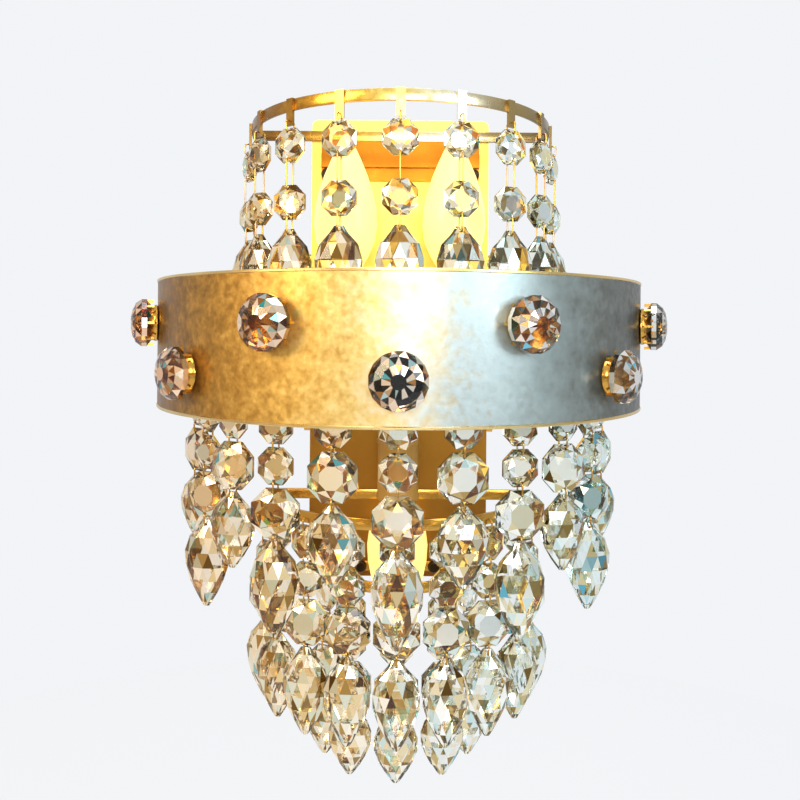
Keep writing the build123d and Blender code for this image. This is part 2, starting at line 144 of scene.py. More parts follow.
class Shader:
    def __init__(self, name, owner=None):
        self.material = owner or bpy.data.materials.new(name)
        self.material.use_nodes = True
        self.tree = self.material.node_tree
        self.tree.nodes.clear()

    def feed(self, socket, value):
        if isinstance(value, Value):
            value = value.socket
        if isinstance(value, bpy.types.NodeSocket):
            self.tree.links.new(value, socket)
        else:
            socket.default_value = value

    def node(self, kind, settings=None, sockets=None):
        made = self.tree.nodes.new(kind)
        for name, value in (settings or {}).items():
            if name == "stops":
                self.setStops(made.color_ramp, value)
            else:
                setattr(made, name, value)
        for name, value in (sockets or {}).items():
            self.feed(made.inputs[name], value)
        return made

    def setStops(self, ramp, stops):
        while len(ramp.elements) < len(stops):
            ramp.elements.new(1.0)
        for element, (position, colour) in zip(ramp.elements, stops):
            element.position = position
            element.color = (*colour, 1.0)

    def ramp(self, value, stops, interpolation="LINEAR"):
        made = self.node("ShaderNodeValToRGB", {"stops": stops}, {"Fac": value})
        made.color_ramp.interpolation = interpolation
        return made.outputs["Color"]

    def axes(self):
        where = self.node("ShaderNodeTexCoord").outputs["Object"]
        split = self.node("ShaderNodeSeparateXYZ", {}, {"Vector": where})
        return [Value(self, split.outputs[axis]) for axis in "XYZ"]

    def noise(self, scale, detail=2.0):
        where = self.node("ShaderNodeTexCoord").outputs["Object"]
        settings = {"noise_dimensions": "3D"}
        sockets = {"Vector": where, "Scale": scale, "Detail": detail}
        return Value(self, self.node("ShaderNodeTexNoise", settings, sockets).outputs[0])

    def attribute(self, name):
        return Value(self, self.node("ShaderNodeAttribute", {"attribute_name": name}).outputs["Fac"])

    def mixColour(self, factor, first, second, blend="MIX"):
        settings = {"data_type": "RGBA", "blend_type": blend}
        made = self.node("ShaderNodeMix", settings, {0: factor, 6: first, 7: second})
        return made.outputs[2]

    def bump(self, height, distance, strength):
        sockets = {"Height": height, "Distance": distance, "Strength": strength}
        return self.node("ShaderNodeBump", {}, sockets).outputs[0]

    def principled(self, sockets):
        return self.node("ShaderNodeBsdfPrincipled", {}, sockets).outputs[0]

    def mixShader(self, factor, first, second):
        return self.node("ShaderNodeMixShader", {}, {0: factor, 1: first, 2: second}).outputs[0]

    def finish(self, surface):
        self.node("ShaderNodeOutputMaterial", {}, {"Surface": surface})
        return self.material


def rgba(colour):
    return (*colour, 1.0)


def fromHex(code):
    # a colour as a paint chart gives it, turned to linear light
    parts = [int(code[start:start + 2], 16) / 255 for start in (0, 2, 4)]
    return tuple(part / 12.92 if part <= 0.04045 else ((part + 0.055) / 1.055) ** 2.4 for part in parts)


def fromHexes(stops):
    return [(place, fromHex(code)) for place, code in stops]


# brushed sheet bent round the room side: its colour runs across X from a painted warm reflection on the
# left to a painted cool reflection on the right, with painted shade darker towards both ends
bandFinishAndPaintedLight = {
    "halfWidth": 0.140,
    "stops": [
        (0.00, "6E4E22"), (0.10, "8C6528"), (0.22, "BC8C3E"), (0.33, "DEB460"), (0.43, "E8CC84"),
        (0.51, "D8CCAC"), (0.61, "BAC8CB"), (0.73, "A6B5B7"), (0.86, "757A76"), (1.00, "3C3C38"),
    ],
    "grainScale": 330.0,
    "patchScale": 120.0,
    "wander": 0.16,
    "mottle": 1.1,
    "mottleTone": (0.60, 0.57, 0.52, 1),
    "metallic": 0.72,
    "roughness": 0.36,
    "bump": 0.00012,
}

# top ring's gold strip: its colour runs across X through a painted highlight, palest right of the middle,
# with painted shade darker towards both ends
ringFinishAndPaintedHighlight = {
    "halfWidth": 0.092,
    "stops": [
        (0.00, "7A6034"), (0.16, "A87832"), (0.34, "E8B848"), (0.50, "FAE88C"), (0.64, "FFFAE4"),
        (0.80, "B09A68"), (1.00, "6A5C40"),
    ],
    "grainScale": 260.0,
    "patchScale": 90.0,
    "wander": 0.08,
    "mottle": 0.8,
    "mottleTone": (0.70, 0.62, 0.50, 1),
    "metallic": 0.85,
    "roughness": 0.24,
    "bump": 0.00003,
}

sheetSurface = {
    "grainDetail": 3.0,
    "patchShare": 0.35,  # of the mottle, from the larger patches
    "shade": 0.6,
    "roughSpread": 0.25,
    "bumpStrength": 0.6,
}


def sweptMaterial(name, settings):
    shader = Shader(name)
    grain = shader.noise(settings["grainScale"], sheetSurface["grainDetail"])
    patch = shader.noise(settings["patchScale"])
    # the ramp across X paints light and shade into the base colour: painted reflections, a painted
    # highlight and painted shade at the ends; the mottle is the sheet's own
    along = shader.axes()[0] / (2 * settings["halfWidth"]) + 0.5
    wander = along + (patch + grain - 1.0) * settings["wander"]
    colour = shader.ramp(wander.clamp(), fromHexes(settings["stops"]))
    mottle = settings["mottle"]
    shade = (grain - 0.5) * mottle + patch.about(0.0, mottle * sheetSurface["patchShare"])
    shade = (shade + sheetSurface["shade"]).clamp()
    mottled = shader.mixColour(shade, settings["mottleTone"], (1.0, 1.0, 1.0, 1))
    return shader.finish(shader.principled({
        "Base Color": shader.mixColour(1.0, colour, mottled, "MULTIPLY"),
        "Metallic": settings["metallic"],
        "Roughness": grain.about(settings["roughness"], sheetSurface["roughSpread"]),
        "Normal": shader.bump(grain, settings["bump"], sheetSurface["bumpStrength"]),
    }))


metalSurface = {
    "cloudScale": 160.0,
    "smearScale": 40.0,
    "detail": 3.0,
    "roughSpread": 0.2,
    "bump": 0.00004,
    "bumpStrength": 0.5,
}


def metalMaterial(name, colour, second, roughness):
    shader = Shader(name)
    cloud = shader.noise(metalSurface["cloudScale"], metalSurface["detail"])
    smear = shader.noise(metalSurface["smearScale"])
    return shader.finish(shader.principled({
        "Base Color": shader.mixColour(smear, rgba(fromHex(colour)), rgba(fromHex(second))),
        "Metallic": 1.0,
        "Roughness": cloud.about(roughness, metalSurface["roughSpread"]),
        "Normal": shader.bump(cloud, metalSurface["bump"], metalSurface["bumpStrength"]),
    }))


plasticSurface = {
    "cloudScale": 90.0,
    "detail": 3.0,
    "darker": 0.86,
    "roughSpread": 0.2,
    "bump": 0.00003,
    "bumpStrength": 0.4,
}


def plasticMaterial(name, colour, roughness):
    shader = Shader(name)
    cloud = shader.noise(plasticSurface["cloudScale"], plasticSurface["detail"])
    pale = fromHex(colour)
    darker = tuple(part * plasticSurface["darker"] for part in pale)
    return shader.finish(shader.principled({
        "Base Color": shader.mixColour(cloud, rgba(darker), rgba(pale)),
        "Roughness": cloud.about(roughness, plasticSurface["roughSpread"]),
        "Normal": shader.bump(cloud, plasticSurface["bump"], plasticSurface["bumpStrength"]),
    }))


# gold plate with a painted glow of lamplight: paler towards the top, where the upper lamps stand against it
panFinishAndPaintedGlow = {
    "stops": [(0.0, "8E5E20"), (0.45, "BF8A2E"), (0.72, "FBE070")],
    "cloudScale": 120.0,
    "detail": 3.0,
    "blur": 0.15,
    "metallic": 0.75,
    "roughness": 0.42,
    "roughSpread": 0.2,
    "bump": 0.00005,
    "bumpStrength": 0.5,
}


def panMaterial(settings):
    shader = Shader("panGold")
    cloud = shader.noise(settings["cloudScale"], settings["detail"])
    # painted lamplight: the colour grows paler with height
    height = ((shader.axes()[2] - panLow.z) / (panHigh.z - panLow.z)).clamp()
    blurred = height + cloud.about(0.0, settings["blur"])
    return shader.finish(shader.principled({
        "Base Color": shader.ramp(blurred, fromHexes(settings["stops"])),
        "Metallic": settings["metallic"],
        "Roughness": cloud.about(settings["roughness"], settings["roughSpread"]),
        "Normal": shader.bump(cloud, settings["bump"], settings["bumpStrength"]),
    }))


# bead glass: the sweep is painted warm light on the left and cool light on the right; the facet tones are
# partly a champagne tint and partly painted dark reflections, painted white highlights and painted cyan
# glints
crystalFinishAndPaintedGlints = {
    "ior": 1.52,
    "halfWidth": 0.125,
    "sweep": [(0.0, "FBE6CC"), (0.35, "FFF0D6"), (0.55, "FFFCF6"), (0.8, "F4FBFA"), (1.0, "E8F4F4")],
    "tones": [
        (0.00, "5E4418"), (0.05, "B48C42"), (0.11, "E6CC8E"), (0.21, "F8EED6"),
        (0.38, "FFFFFF"), (0.88, "ECF6F4"), (0.96, "A9DCEA"),
    ],
    "coated": 0.70,  # facets whose chance is above this have a mirror coat
    "coatTones": [
        (0.0, "5A3E14"), (0.11, "B0935A"), (0.22, "E6D6AC"), (0.40, "FBF6EA"), (0.60, "FFFFFF"),
        (0.94, "CFE2E0"), (1.0, "5FB0CA"),
    ],
}

# rhinestone glass: the sweep is painted warm light on the left and cool light on the right; the facet tones
# are partly the stone's tint and partly painted dark reflections, painted white highlights and a painted
# cyan glint
studFinishAndPaintedGlints = {
    "ior": 1.55,
    "halfWidth": 0.155,
    "sweep": [(0.0, "FFD9B8"), (0.4, "FFEBD6"), (0.7, "FFFFFF"), (1.0, "E4ECEE")],
    "tones": [
        (0.00, "6A4420"), (0.10, "B07A3C"), (0.22, "E0BC90"), (0.36, "F6ECE0"),
        (0.56, "FFFFFF"), (0.88, "DCE2E0"), (0.96, "8C9294"),
    ],
    "coated": 0.55,
    "coatTones": [
        (0.0, "6A4420"), (0.16, "B08450"), (0.32, "DCC8B4"), (0.50, "FBF6F0"), (0.80, "D8D4D0"),
        (0.93, "A8D4E0"), (1.0, "36B4DC"),
    ],
}

cutSurface = {
    "cloudScale": 220.0,
    "glassRough": 0.01,
    "glassSpread": 0.03,
    "coatRough": 0.08,
    "coatSpread": 0.1,
    "coatMetallic": 0.9,
}


def crystalMaterial(name, settings):
    # cut glass: each facet has a random tone, partly a champagne glass tint and partly painted reflection,
    # painted highlight and painted cyan glint; some facets are coated
    shader = Shader(name)
    tone = shader.attribute("facetTone")
    cloud = shader.noise(cutSurface["cloudScale"])
    # painted light across X: warm on the left, cool on the right, multiplied into both shaders' colour
    along = shader.axes()[0] / (2 * settings["halfWidth"]) + 0.5
    sweep = shader.ramp(along.clamp(), fromHexes(settings["sweep"]))
    glassTone = shader.ramp(tone, fromHexes(settings["tones"]), "CONSTANT")
    coatTone = shader.ramp(tone, fromHexes(settings["coatTones"]))
    glass = shader.principled({
        "Base Color": shader.mixColour(1.0, glassTone, sweep, "MULTIPLY"),
        "Roughness": cloud * cutSurface["glassSpread"] + cutSurface["glassRough"],
        "IOR": settings["ior"],
        "Transmission Weight": 1.0,
    })
    coat = shader.principled({
        "Base Color": shader.mixColour(1.0, coatTone, sweep, "MULTIPLY"),
        "Metallic": cutSurface["coatMetallic"],
        "Roughness": cloud * cutSurface["coatSpread"] + cutSurface["coatRough"],
    })
    chance = shader.attribute("facetCoat")
    mask = (chance.above(settings["coated"]) + shader.attribute("facetBack")).clamp()
    return shader.finish(shader.mixShader(mask, glass, coat))


bulbFinish = {
    "glass": (0.62, 0.50, 0.22),
    "glowLow": (1.0, 0.70, 0.16),
    "glowHigh": (1.0, 0.84, 0.26),
    "glow": 1.1,
    "cloudScale": 60.0,
    "rough": 0.25,
    "roughSpread": 0.1,
}


def bulbMaterial(settings):
    shader = Shader("litBulb")
    cloud = shader.noise(settings["cloudScale"])
    return shader.finish(shader.principled({
        "Base Color": rgba(settings["glass"]),
        "Roughness": cloud * settings["roughSpread"] + settings["rough"],
        "Emission Color": shader.mixColour(cloud, rgba(settings["glowLow"]), rgba(settings["glowHigh"])),
        "Emission Strength": settings["glow"],
    }))


finishes = {
    "band": sweptMaterial("brushedBand", bandFinishAndPaintedLight),
    "topRing": sweptMaterial("topRingGold", ringFinishAndPaintedHighlight),
    "gold": metalMaterial("goldPlate", "C8923A", "E2B45C", 0.22),
    "rimGold": metalMaterial("paleGoldRim", "C9A55C", "EED9A4", 0.28),
    "bracketGold": metalMaterial("bracketGold", "A05C16", "CC8426", 0.30),
    "zinc": metalMaterial("zincSteel", "9FA2A4", "B9BCBD", 0.35),
    "screw": metalMaterial("darkScrew", "2E2620", "4A3A2C", 0.35),
    "brass": metalMaterial("capBrass", "B08A45", "CBA765", 0.30),
    "wire": metalMaterial("wireGold", "B8873A", "DDB76A", 0.22),
    "pan": panMaterial(panFinishAndPaintedGlow),
    "sleeve": plasticMaterial("candleSleeve", "C8963E", 0.4),
    "cable": plasticMaterial("cableSleeve", "D8CFBA", 0.5),
    "terminal": plasticMaterial("terminalBlock", "ECEAE4", 0.4),
    "crystal": crystalMaterial("cutCrystal", crystalFinishAndPaintedGlints),
    "stud": crystalMaterial("studCrystal", studFinishAndPaintedGlints),
    "bulb": bulbMaterial(bulbFinish),
}
print("finishes made:", len(finishes))


def newObject(name, mesh):
    made = bpy.data.objects.new(name, mesh)
    bpy.context.scene.collection.objects.link(made)
    return made


def fromBmesh(name, work, smooth=False):
    mesh = bpy.data.meshes.new(name)
    work.to_mesh(mesh)
    work.free()
    mesh.polygons.foreach_set("use_smooth", [smooth] * len(mesh.polygons))
    return newObject(name, mesh)


def plainMesh(holder, name):
    # what a piece's modifiers give, as a plain mesh on an object without modifiers
    evaluated = holder.evaluated_get(bpy.context.evaluated_depsgraph_get())
    mesh = bpy.data.meshes.new_from_object(evaluated)
    mesh.name = name
    old = holder.data
    holder.modifiers.clear()
    holder.data = mesh
    bpy.data.meshes.remove(old)
    return holder


def lathe(work, profile, place, segments=48):
    # rings of points about a place's Z axis; a radius of zero closes the end
    rings = []
    for radius, height in profile:
        if radius < 1e-6:
            rings.append([work.verts.new(place @ Vector((0, 0, height)))])
            continue
        ring = []
        for step in range(segments):
            turn = 2 * math.pi * step / segments
            point = Vector((radius * math.cos(turn), radius * math.sin(turn), height))
            ring.append(work.verts.new(place @ point))
        rings.append(ring)
    for lower, upper in zip(rings, rings[1:]):
        for step in range(segments):
            after = (step + 1) % segments
            if len(lower) == 1:
                work.faces.new((lower[0], upper[after], upper[step]))
            elif len(upper) == 1:
                work.faces.new((lower[step], lower[after], upper[0]))
            else:
                work.faces.new((lower[step], lower[after], upper[after], upper[step]))


beadCut = {
    "sides": 8,
    "edge": 0.0016,
    "middleRadius": 0.80,  # of half the bead's width
    "middleRise": 0.58,  # of the way from the edge to the table
    "tableRadius": 0.46,
    "holeInset": 0.0022,
}

dropCut = {
    "width": 0.025,
    "depth": 0.012,
    "holeInset": 0.0026,
    "sides": 12,
    "keen": 1.3,  # above 1 the sides of the drop's section grow sharper
    "rows": [  # share of the length, share of the width
        (0.00, 0.20), (0.08, 0.40), (0.20, 0.79), (0.37, 1.00), (0.54, 0.95),
        (0.70, 0.76), (0.84, 0.50), (0.95, 0.25), (1.00, 0.12),
    ],
}

wireHole = {
    "radius": 0.00075,
    "sides": 12,
    "drillLength": 0.03,
}


def drill(crystal, heights):
    # wire holes through the thickness
    work = bmesh.new()
    radius = wireHole["radius"]
    for height in heights:
        place = Matrix.Translation((0, 0, height)) @ Matrix.Rotation(math.pi / 2, 4, "X")
        bmesh.ops.create_cone(
            work, cap_ends=True, segments=wireHole["sides"], radius1=radius, radius2=radius,
            depth=wireHole["drillLength"], matrix=place,
        )
    drillBit = fromBmesh("drillBit", work)
    cut = crystal.modifiers.new("holes", "BOOLEAN")
    cut.object = drillBit
    cut.solver = "EXACT"
    plainMesh(crystal, crystal.name)
    bpy.data.objects.remove(drillBit)
    return crystal


def octagonRing(work, radius, turned, depth):
    # a turned ring has flats, not corners, at its top and bottom
    ring = []
    angle = 360 / beadCut["sides"]
    for step in range(beadCut["sides"]):
        turn = math.radians(angle * step + (angle / 2 if turned else 0))
        ring.append(work.verts.new((radius * math.cos(turn), depth, radius * math.sin(turn))))
    return ring


def makeBead(name, size, thickness):
    # two rows of facets and a flat table on each side of a narrow edge
    work = bmesh.new()
    half = size / 2
    sides = beadCut["sides"]
    edge = beadCut["edge"]
    corner = half / math.cos(math.radians(180 / sides))
    rise = thickness / 2 - edge / 2
    girdles = []
    for side in (-1, 1):
        girdle = octagonRing(work, corner, True, side * edge / 2)
        middleDepth = side * (edge / 2 + rise * beadCut["middleRise"])
        middle = octagonRing(work, half * beadCut["middleRadius"], False, middleDepth)
        table = octagonRing(work, corner * beadCut["tableRadius"], True, side * thickness / 2)
        for step in range(sides):
            after = (step + 1) % sides
            work.faces.new((girdle[step], girdle[after], middle[after]))
            work.faces.new((girdle[step], middle[after], middle[step]))
            work.faces.new((table[step], middle[step], middle[after]))
            work.faces.new((table[step], middle[after], table[after]))
        work.faces.new(table)
        girdles.append(girdle)
    for step in range(sides):
        after = (step + 1) % sides
        work.faces.new((girdles[0][step], girdles[0][after], girdles[1][after], girdles[1][step]))
    bmesh.ops.recalc_face_normals(work, faces=work.faces)
    bead = fromBmesh(name, work)
    reach = half - beadCut["holeInset"]
    return drill(bead, (reach, -reach))


def makeDrop(name, length):
    # every other row of corners is turned by half a side, with triangles between the rows
    work = bmesh.new()
    sides = dropCut["sides"]
    rows = []
    for index, (down, share) in enumerate(dropCut["rows"]):
        row = []
        for step in range(sides):
            turn = 2 * math.pi * (step + (index % 2) / 2) / sides
            across = math.cos(turn) * share * dropCut["width"] / 2
            keen = math.copysign(abs(math.sin(turn)) ** dropCut["keen"], math.sin(turn))
            through = keen * share * dropCut["depth"] / 2
            row.append(work.verts.new((across, through, -down * length)))
        rows.append(row)
    for index, (upper, lower) in enumerate(zip(rows, rows[1:])):
        for step in range(sides):
            after = (step + 1) % sides
            if index % 2:
                work.faces.new((upper[step], upper[after], lower[after]))
                work.faces.new((upper[step], lower[after], lower[step]))
            else:
                work.faces.new((upper[step], upper[after], lower[step]))
                work.faces.new((upper[after], lower[after], lower[step]))
    work.faces.new(rows[0])
    work.faces.new(rows[-1])
    bmesh.ops.recalc_face_normals(work, faces=work.faces)
    return drill(fromBmesh(name, work), (-dropCut["holeInset"],))


strands = {
    "loop": 0.006,
    "longLoop": 0.016,
    "dropLoop": 0.0096,
    "loopWidth": 0.0064,
    "loopCorner": 0.0014,
    "cornerSteps": 4,
    "wireRadius": 0.00045,
    "wireSides": 8,
    "small": (0.018, 0.0064),  # width and thickness
    "large": (0.024, 0.008),
    "longDrop": 0.046,
    "shortDrop": 0.038,
    "firstTurn": 0.2,  # share of its place's angle by which a strand turns to the front
    "nextTurn": 0.09,
    "toneSeed": 11,
    "coatSeed": 211,
}
topLoops = [strands["loop"], strands["longLoop"], strands["dropLoop"]]
fullLoops = [strands["loop"]] * 4
strandKinds = {  # loops, beads and drop from the top down
    "top": (topLoops, ["small", "small"], "longDrop"),
    "long": (fullLoops, ["small", "small", "large"], "longDrop"),
    "short": (fullLoops[:3], ["small", "large"], "shortDrop"),
    "inner": (fullLoops, ["small", "small", "large"], "shortDrop"),
}
strandRows = {"top": ["top"], "outer": ["short", "long"], "middle": ["long"], "inner": ["inner"]}
templates = {
    "small": makeBead("smallBead", *strands["small"]),
    "large": makeBead("largeBead", *strands["large"]),
    "longDrop": makeDrop("longDrop", strands["longDrop"]),
    "shortDrop": makeDrop("shortDrop", strands["shortDrop"]),
}
print("crystals cut:", {name: len(piece.data.polygons) for name, piece in templates.items()})


class Tree(Shader):
    # a geometry tree with named inputs; node() and Value sums work as they do in a material
    def __init__(self, name, inputs):
        self.tree = bpy.data.node_groups.new(name, "GeometryNodeTree")
        panel = self.tree.interface
        panel.new_socket("Geometry", in_out="OUTPUT", socket_type="NodeSocketGeometry")
        for label, (kind, value) in inputs.items():
            socket = panel.new_socket(label, in_out="INPUT", socket_type="NodeSocket" + kind)
            socket.default_value = value
        self.entry = self.tree.nodes.new("NodeGroupInput")

    def input(self, label):
        return self.entry.outputs[label]

    def number(self, label):
        return Value(self, self.input(label))

    def vector(self, x, y, z):
        return self.node("ShaderNodeCombineXYZ", {}, {"X": x, "Y": y, "Z": z}).outputs[0]

    def moved(self, geometry, place, turn=(0, 0, 0)):
        sockets = {"Geometry": geometry, "Translation": place, "Rotation": turn}
        return self.node("GeometryNodeTransform", {}, sockets).outputs[0]

    def joined(self, parts):
        join = self.node("GeometryNodeJoinGeometry")
        for part in parts:
            self.tree.links.new(part, join.inputs[0])
        return join.outputs[0]

    def realized(self, geometry):
        return self.node("GeometryNodeRealizeInstances", {}, {"Geometry": geometry}).outputs[0]

    def template(self, source):
        made = self.node("GeometryNodeObjectInfo", {"transform_space": "ORIGINAL"}, {"Object": source})
        return made.outputs["Geometry"]

    def faceRandom(self, geometry, name, seed):
        # a number from 0 to 1 for each face, kept as an attribute
        chance = self.node("FunctionNodeRandomValue", {"data_type": "FLOAT"}, {"Seed": seed})
        store = self.node("GeometryNodeStoreNamedAttribute", {"data_type": "FLOAT", "domain": "FACE"})
        self.feed(store.inputs["Geometry"], geometry)
        store.inputs["Name"].default_value = name
        self.feed(store.inputs["Value"], chance.outputs[1])
        return store.outputs[0]

    def close(self, geometry, material, smooth=False):
        shade = self.node("GeometryNodeSetShadeSmooth", {}, {
            "Geometry": self.realized(geometry), "Shade Smooth": smooth,
        })
        painted = self.node("GeometryNodeSetMaterial", {}, {
            "Geometry": shade.outputs[0], "Material": material,
        })
        leave = self.tree.nodes.new("NodeGroupOutput")
        self.tree.links.new(painted.outputs[0], leave.inputs[0])

    def make(self, name, values):
        # one plain mesh from this tree with these inputs
        holder = newObject(name, bpy.data.meshes.new(name + "Start"))
        modifier = holder.modifiers.new("tree", "NODES")
        modifier.node_group = self.tree
        for item in self.tree.interface.items_tree:
            if item.in_out == "INPUT" and item.name in values:
                modifier[item.identifier] = values[item.name]
        return plainMesh(holder, name)


def strandLevels(kind):
    # each loop's and crystal's level below the hanging hole, and its share of the strand's heading
    loops, sizes, drop = strandKinds[kind]
    level = 0.0
    facing = 1.0 - strands["firstTurn"]
    loopItems = []
    crystalItems = []
    for loop, size in zip(loops, sizes):
        reach = strands[size][0] / 2 - beadCut["holeInset"]
        loopItems.append((level, loop, facing))
        level -= loop + reach
        facing -= strands["nextTurn"]
        crystalItems.append((level, size, facing))
        level -= reach
        facing -= strands["nextTurn"]
    loopItems.append((level, loops[-1], facing))
    facing -= strands["nextTurn"]
    crystalItems.append((level - loops[-1] + dropCut["holeInset"], drop, facing))
    return loopItems, crystalItems


def crystalTree(kind, material):
    tree = Tree(kind + "Crystals", {
        "Anchor": ("Vector", (0, 0, 0)),
        "Heading": ("Float", 0.0),
        "Tone seed": ("Int", 0),
        "Coat seed": ("Int", 0),
    })
    crystals = []
    for level, shape, facing in strandLevels(kind)[1]:
        turn = tree.vector(0.0, 0.0, tree.number("Heading") * facing)
        crystals.append(tree.moved(tree.template(templates[shape]), (0, 0, level), turn))
    whole = tree.moved(tree.joined(crystals), tree.input("Anchor"))
    toned = tree.faceRandom(tree.realized(whole), "facetTone", tree.input("Tone seed"))
    coated = tree.faceRandom(toned, "facetCoat", tree.input("Coat seed"))
    tree.close(coated, material)
    return tree


def loopTree(kind, material):
    tree = Tree(kind + "Loops", {
        "Anchor": ("Vector", (0, 0, 0)),
        "Heading": ("Float", 0.0),
        "Loop width": ("Float", strands["loopWidth"]),
        "Corner": ("Float", strands["loopCorner"]),
        "Wire radius": ("Float", strands["wireRadius"]),
    })
    wire = tree.node("GeometryNodeCurvePrimitiveCircle", {}, {
        "Resolution": strands["wireSides"], "Radius": tree.input("Wire radius"),
    })
    loops = []
    for level, height, facing in strandLevels(kind)[0]:
        square = tree.node("GeometryNodeCurvePrimitiveQuadrilateral", {}, {
            "Width": tree.input("Loop width"), "Height": height,
        })
        rounded = tree.node("GeometryNodeFilletCurve", {"mode": "POLY"}, {
            "Curve": square.outputs[0], "Radius": tree.input("Corner"), "Count": strands["cornerSteps"],
        })
        tube = tree.node("GeometryNodeCurveToMesh", {}, {
            "Curve": rounded.outputs[0], "Profile Curve": wire.outputs[0],
        })
        heading = tree.number("Heading") * facing + math.pi / 2
        turn = tree.vector(math.pi / 2, 0.0, heading)
        loops.append(tree.moved(tube.outputs[0], (0, 0, level - height / 2), turn))
    tree.close(tree.moved(tree.joined(loops), tree.input("Anchor")), material, True)
    return tree


pieces = []


def addPiece(piece, body, slot, *replaced):
    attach(piece, body)
    if replaced:
        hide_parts(*replaced)
    pieces.append(piece)
    return piece


strandNames = sorted(name for name in frame["bodies"] if "_strand_" in name)
kindTrees = {
    kind: (crystalTree(kind, finishes["crystal"]), loopTree(kind, finishes["wire"])) for kind in strandKinds
}
for index, name in enumerate(strandNames):
    row, _, place = name.split("_")
    kinds = strandRows[row]
    crystalMaker, loopMaker = kindTrees[kinds[(int(place) - 1) % len(kinds)]]
    point, heading = swingPlace(name)
    values = {
        "Anchor": tuple(point), "Heading": heading,
        "Tone seed": strands["toneSeed"] + index, "Coat seed": strands["coatSeed"] + index,
    }
    crystals = crystalMaker.make(name + "_crystals", values)
    addPiece(crystals, name, "crystal", name)
    loops = loopMaker.make(name + "_loops", values)
    addPiece(loops, name, "gold_plate", name)
for template in templates.values():
    bpy.data.objects.remove(template)
print("strands hung:", len(strandNames))


ringCut = {
    "height": 0.006,
    "thickness": 0.002,
    "corner": 0.0003,
    "cornerSteps": 2,
    "arcSteps": 96,
    "tabWidth": 0.0046,
    "tabThickness": 0.0016,
    "tabCount": 9,
    "tabSpacing": math.radians(20),
}


def fanPoints(tree, count, spacing, radius, height):
    # points on an arc about straight ahead, and each one's heading
    line = tree.node("GeometryNodeMeshLine", {"mode": "OFFSET"}, {"Count": count})
    index = Value(tree, tree.node("GeometryNodeInputIndex").outputs[0])
    heading = (index - (count - 1) / 2) * spacing
    sine = tree.node("ShaderNodeMath", {"operation": "SINE"}, {0: heading}).outputs[0]
    cosine = tree.node("ShaderNodeMath", {"operation": "COSINE"}, {0: heading}).outputs[0]
    place = tree.vector(Value(tree, sine) * radius, panFront - Value(tree, cosine) * radius, height)
    points = tree.node("GeometryNodeSetPosition", {}, {"Geometry": line.outputs[0], "Position": place})
    return points.outputs[0], heading


def ringTree(material, tabs):
    # a half circle and a straight bar of rounded strip, and the tabs on its outer face
    tree = Tree("stripRing", {
        "Radius": ("Float", 0.0),
        "Bottom": ("Float", 0.0),
        "Height": ("Float", ringCut["height"]),
        "Thickness": ("Float", ringCut["thickness"]),
        "Corner": ("Float", ringCut["corner"]),
        "Tab foot": ("Float", 0.0),
    })
    section = tree.node("GeometryNodeCurvePrimitiveQuadrilateral", {}, {
        "Width": tree.input("Thickness"), "Height": tree.input("Height"),
    })
    rounded = tree.node("GeometryNodeFilletCurve", {"mode": "POLY"}, {
        "Curve": section.outputs[0], "Radius": tree.input("Corner"), "Count": ringCut["cornerSteps"],
    })
    arc = tree.node("GeometryNodeCurveArc", {"mode": "RADIUS"}, {
        "Resolution": ringCut["arcSteps"], "Radius": tree.input("Radius"),
        "Start Angle": math.pi, "Sweep Angle": math.pi,
    })
    radius = tree.number("Radius")
    barPlace = tree.number("Thickness") * -0.5
    bar = tree.node("GeometryNodeCurvePrimitiveLine", {}, {
        "Start": tree.vector(radius * -1.0, barPlace, 0.0), "End": tree.vector(radius, barPlace, 0.0),
    })
    strips = []
    for route in (arc, bar):
        tube = tree.node("GeometryNodeCurveToMesh", {}, {
            "Curve": route.outputs[0], "Profile Curve": rounded.outputs[0], "Fill Caps": True,
        })
        strips.append(tube.outputs[0])
    middle = tree.number("Bottom") + tree.number("Height") * 0.5
    whole = [tree.moved(tree.joined(strips), tree.vector(0.0, panFront, middle))]
    if tabs:
        top = tree.number("Bottom") + tree.number("Height")
        foot = tree.number("Tab foot")
        outside = radius + (ringCut["thickness"] + ringCut["tabThickness"]) / 2
        points, heading = fanPoints(
            tree, ringCut["tabCount"], ringCut["tabSpacing"], outside, (top + foot) * 0.5
        )
        plate = tree.node("GeometryNodeMeshCube", {}, {
            "Size": tree.vector(ringCut["tabWidth"], ringCut["tabThickness"], top - foot),
        })
        copies = tree.node("GeometryNodeInstanceOnPoints", {}, {
            "Points": points, "Instance": plate.outputs[0], "Rotation": tree.vector(0.0, 0.0, heading),
        })
        whole.append(copies.outputs[0])
    tree.close(tree.joined(whole), material)
    return tree


mergeDistance = 0.000002


def smoothByAngle(piece, degrees=35):
    # smooth shading that keeps the corners sharp, held in the mesh itself
    mesh = piece.data
    work = bmesh.new()
    work.from_mesh(mesh)
    bmesh.ops.remove_doubles(work, verts=work.verts, dist=mergeDistance)
    for edge in work.edges:
        sharp = len(edge.link_faces) != 2 or edge.calc_face_angle(0) > math.radians(degrees)
        edge.smooth = not sharp
    for face in work.faces:
        face.smooth = True
    work.to_mesh(mesh)
    work.free()
    return piece


for node in ("top_ring", "band_ring", "middle_ring", "inner_ring"):
    low, high = lowHigh(node)
    tabs = node == "top_ring"
    radius = (panFront - low.y) - ringCut["thickness"] / 2 - (ringCut["tabThickness"] if tabs else 0)
    tree = ringTree(finishes["topRing" if tabs else "gold"], tabs)
    ring = tree.make(node + "_strip", {
        "Radius": radius, "Bottom": high.z - ringCut["height"], "Tab foot": low.z,
    })
    addPiece(smoothByAngle(ring), rootBody, "gold_plate", node)
print("rings made")


bandCut = {
    "sheet": 0.0014,
    "arcSteps": 120,
    "rimHeight": 0.0015,
    "rimProud": 0.0004,
    "rimSlope": 0.2,  # of the rim's height, at each edge
    "smoothAngle": 30,
}


